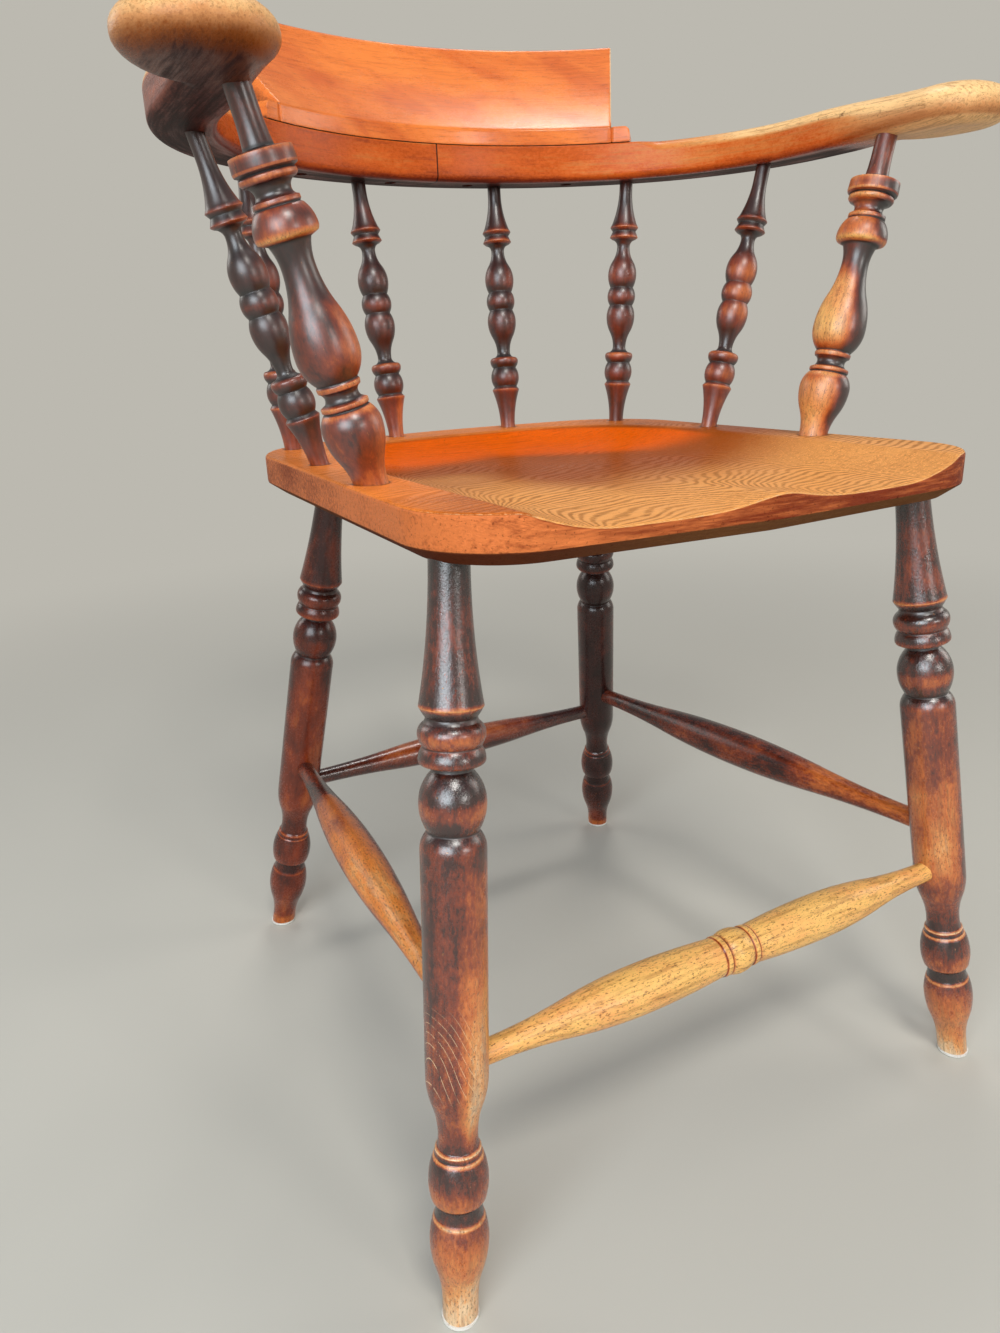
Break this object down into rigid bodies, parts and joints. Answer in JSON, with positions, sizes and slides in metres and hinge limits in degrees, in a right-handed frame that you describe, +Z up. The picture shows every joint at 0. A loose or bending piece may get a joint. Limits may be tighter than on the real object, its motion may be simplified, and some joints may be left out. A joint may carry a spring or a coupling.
{
  "type": "windsor captains chair",
  "caption": "Low-backed turned wooden armchair with a saddled seat, splayed legs in a box of stretchers, a bow of arms on spindles and a leaning crest.",
  "frame": {"origin": "on the floor, midway between the outermost sides and between the outermost front and back", "axes": "+X to the chair's side that is on the right seen from in front, +Y towards its back, +Z up"},
  "size_m": [0.606, 0.5034, 0.813],
  "materials": {
    "seat_wood": "old glossy varnish, worn",
    "turned_wood": "old dark varnish, rubbed",
    "front_stretcher_wood": "worn to bare wood",
    "side_stretcher_wood": "worn varnish",
    "arm_wood": "worn varnish",
    "crest_wood": "glossy varnish",
    "dowel_wood": "bare",
    "foot_pad": "matt",
    "screw_steel": "dull"
  },
  "bodies": {
    "root": {"arm_joint_dowels": "dowel_wood", "arm_left": "arm_wood", "arm_right": "arm_wood", "arm_support_left": "turned_wood", "arm_support_right": "turned_wood", "crest_rail": "crest_wood", "crest_screws": "screw_steel", "foot_pad_back_left": "foot_pad", "foot_pad_back_right": "foot_pad", "foot_pad_front_left": "foot_pad", "foot_pad_front_right": "foot_pad", "leg_back_left": "turned_wood", "leg_back_right": "turned_wood", "leg_front_left": "turned_wood", "leg_front_right": "turned_wood", "seat": "seat_wood", "spindle_back_left": "turned_wood", "spindle_back_right": "turned_wood", "spindle_corner_left": "turned_wood", "spindle_corner_right": "turned_wood", "spindle_side_left": "turned_wood", "spindle_side_right": "turned_wood", "stretcher_back": "turned_wood", "stretcher_front": "front_stretcher_wood", "stretcher_left": "side_stretcher_wood", "stretcher_right": "side_stretcher_wood"}
  },
  "joints": []
}
